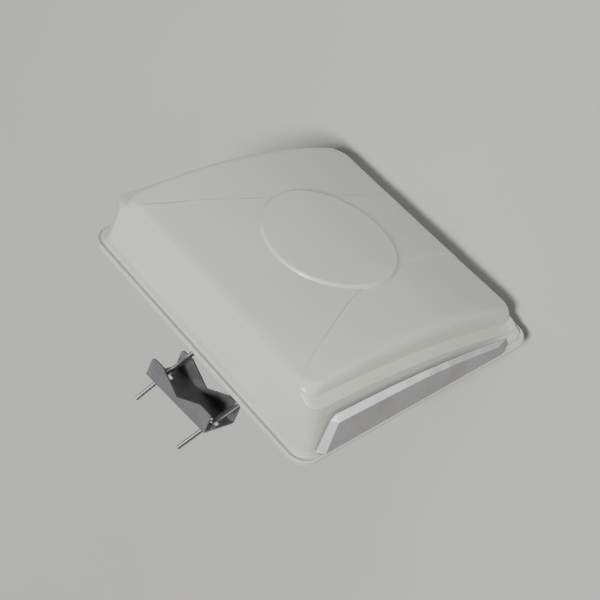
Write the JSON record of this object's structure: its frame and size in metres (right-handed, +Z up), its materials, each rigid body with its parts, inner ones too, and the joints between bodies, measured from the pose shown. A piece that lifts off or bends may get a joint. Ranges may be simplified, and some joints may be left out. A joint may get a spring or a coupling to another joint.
{
  "type": "flat panel antenna",
  "caption": "Wedge-shaped flat panel antenna with a moulded radome, on a tilting bracket with a two-jaw clamp for a mast.",
  "frame": {"origin": "on the axis of a 50 mm mast seated in the inner jaw, at the jaws' mid height", "axes": "+Z up along the mast, -Y out of the radome's front, +X to the right seen from behind the mast looking at the panel's back"},
  "size_m": [0.362, 0.3341, 0.3396],
  "materials": {
    "radome_plastic": "satin moulded",
    "cover_plastic": "satin moulded",
    "gloss_plastic": "glossy",
    "seal_rubber": "matt black",
    "sheet_aluminium": "mill finish",
    "zinc_steel": "galvanised sheet",
    "bright_steel": "bright plated",
    "white_insulator": "matt",
    "brass": "turned",
    "plated_brass": "nickel plated",
    "circuit_board": "lacquered",
    "cable_jacket": "satin"
  },
  "bodies": {
    "clamp": {"inner_jaw": "zinc_steel", "lock_bolt_left": "bright_steel", "lock_bolt_right": "bright_steel", "lock_nut_left": "bright_steel", "lock_nut_right": "bright_steel", "pivot_bolt_left": "bright_steel", "pivot_bolt_right": "bright_steel", "pivot_nut_left": "bright_steel", "pivot_nut_right": "bright_steel", "tilt_yoke": "zinc_steel"},
    "panel": {"back_cover": "cover_plastic", "base_bolt_1": "bright_steel", "base_bolt_2": "bright_steel", "base_bolt_3": "bright_steel", "base_bolt_4": "bright_steel", "base_bracket": "zinc_steel", "base_nut_1": "bright_steel", "base_nut_2": "bright_steel", "base_nut_3": "bright_steel", "base_nut_4": "bright_steel", "coax_jumper": "cable_jacket", "connector_body": "plated_brass", "connector_insulator": "white_insulator", "connector_nut": "plated_brass", "connector_pin": "brass", "connector_seal": "seal_rubber", "connector_washer": "bright_steel", "cover_screw_1": "bright_steel", "cover_screw_2": "bright_steel", "cover_screw_3": "bright_steel", "cover_screw_4": "bright_steel", "cover_screw_5": "bright_steel", "cover_screw_6": "bright_steel", "cover_screw_7": "bright_steel", "cover_screw_8": "bright_steel", "end_pad": "gloss_plastic", "feed_board": "circuit_board", "radiator_1": "sheet_aluminium", "radiator_2": "sheet_aluminium", "radiator_3": "sheet_aluminium", "radiator_4": "sheet_aluminium", "radiator_post_1": "white_insulator", "radiator_post_2": "white_insulator", "radiator_post_3": "white_insulator", "radiator_post_4": "white_insulator", "radome": "radome_plastic", "reflector_plate": "sheet_aluminium", "rim_gasket": "seal_rubber", "vent_plug": "seal_rubber"},
    "left_bolt": {"clamp_bolt_left": "bright_steel"},
    "right_bolt": {"clamp_bolt_right": "bright_steel"},
    "left_washer": {"clamp_washer_left": "bright_steel"},
    "right_washer": {"clamp_washer_right": "bright_steel"},
    "left_nut": {"clamp_nut_left": "bright_steel", "clamp_spring_washer_left": "bright_steel"},
    "right_nut": {"clamp_nut_right": "bright_steel", "clamp_spring_washer_right": "bright_steel"},
    "outer_jaw": {"outer_jaw": "zinc_steel"}
  },
  "joints": [
    {"name": "panel_tilt", "type": "hinge", "parent": "clamp", "child": "panel", "pos_m": [0, -0.067, 0], "axis": [1, 0, 0], "range_deg": [-15, 14.9]},
    {"name": "left_bolt_rock", "type": "hinge", "parent": "clamp", "child": "left_bolt", "pos_m": [-0.0421, -0.03865, 0], "axis": [0, 0, 1], "range_deg": [-4.5, 20.5]},
    {"name": "right_bolt_rock", "type": "hinge", "parent": "clamp", "child": "right_bolt", "pos_m": [0.0421, -0.03865, 0], "axis": [0, 0, 1], "range_deg": [-4.5, 20.5]},
    {"name": "left_washer_slide", "type": "slide", "parent": "left_bolt", "child": "left_washer", "axis": [-0.3502, -0.9367, 0], "range_m": [-0.01, 0.042]},
    {"name": "jaw_yaw", "type": "hinge", "parent": "left_washer", "child": "outer_jaw", "pos_m": [-0.00629, 0.05713, 0], "axis": [0, 0, 1], "range_deg": [-20.5, 4.5]},
    {"name": "right_washer_slide", "type": "slide", "parent": "right_bolt", "child": "right_washer", "axis": [-0.3502, -0.9367, 0], "range_m": [-0.01, 0.042]},
    {"name": "left_nut_slide", "type": "slide", "parent": "left_bolt", "child": "left_nut", "axis": [-0.3502, -0.9367, 0], "range_m": [-0.0112, 0.0467]},
    {"name": "right_nut_slide", "type": "slide", "parent": "right_bolt", "child": "right_nut", "axis": [-0.3502, -0.9367, 0], "range_m": [-0.0115, 0.0478]}
  ],
  "couplings": [
    {"joint": "right_bolt_rock", "follows": "left_bolt_rock", "ratio": 1},
    {"joint": "jaw_yaw", "follows": "left_bolt_rock", "ratio": -1},
    {"joint": "right_washer_slide", "follows": "left_washer_slide", "ratio": 1},
    {"joint": "left_nut_slide", "follows": "left_washer_slide", "ratio": 1.1095},
    {"joint": "right_nut_slide", "follows": "left_washer_slide", "ratio": 1.1357}
  ]
}
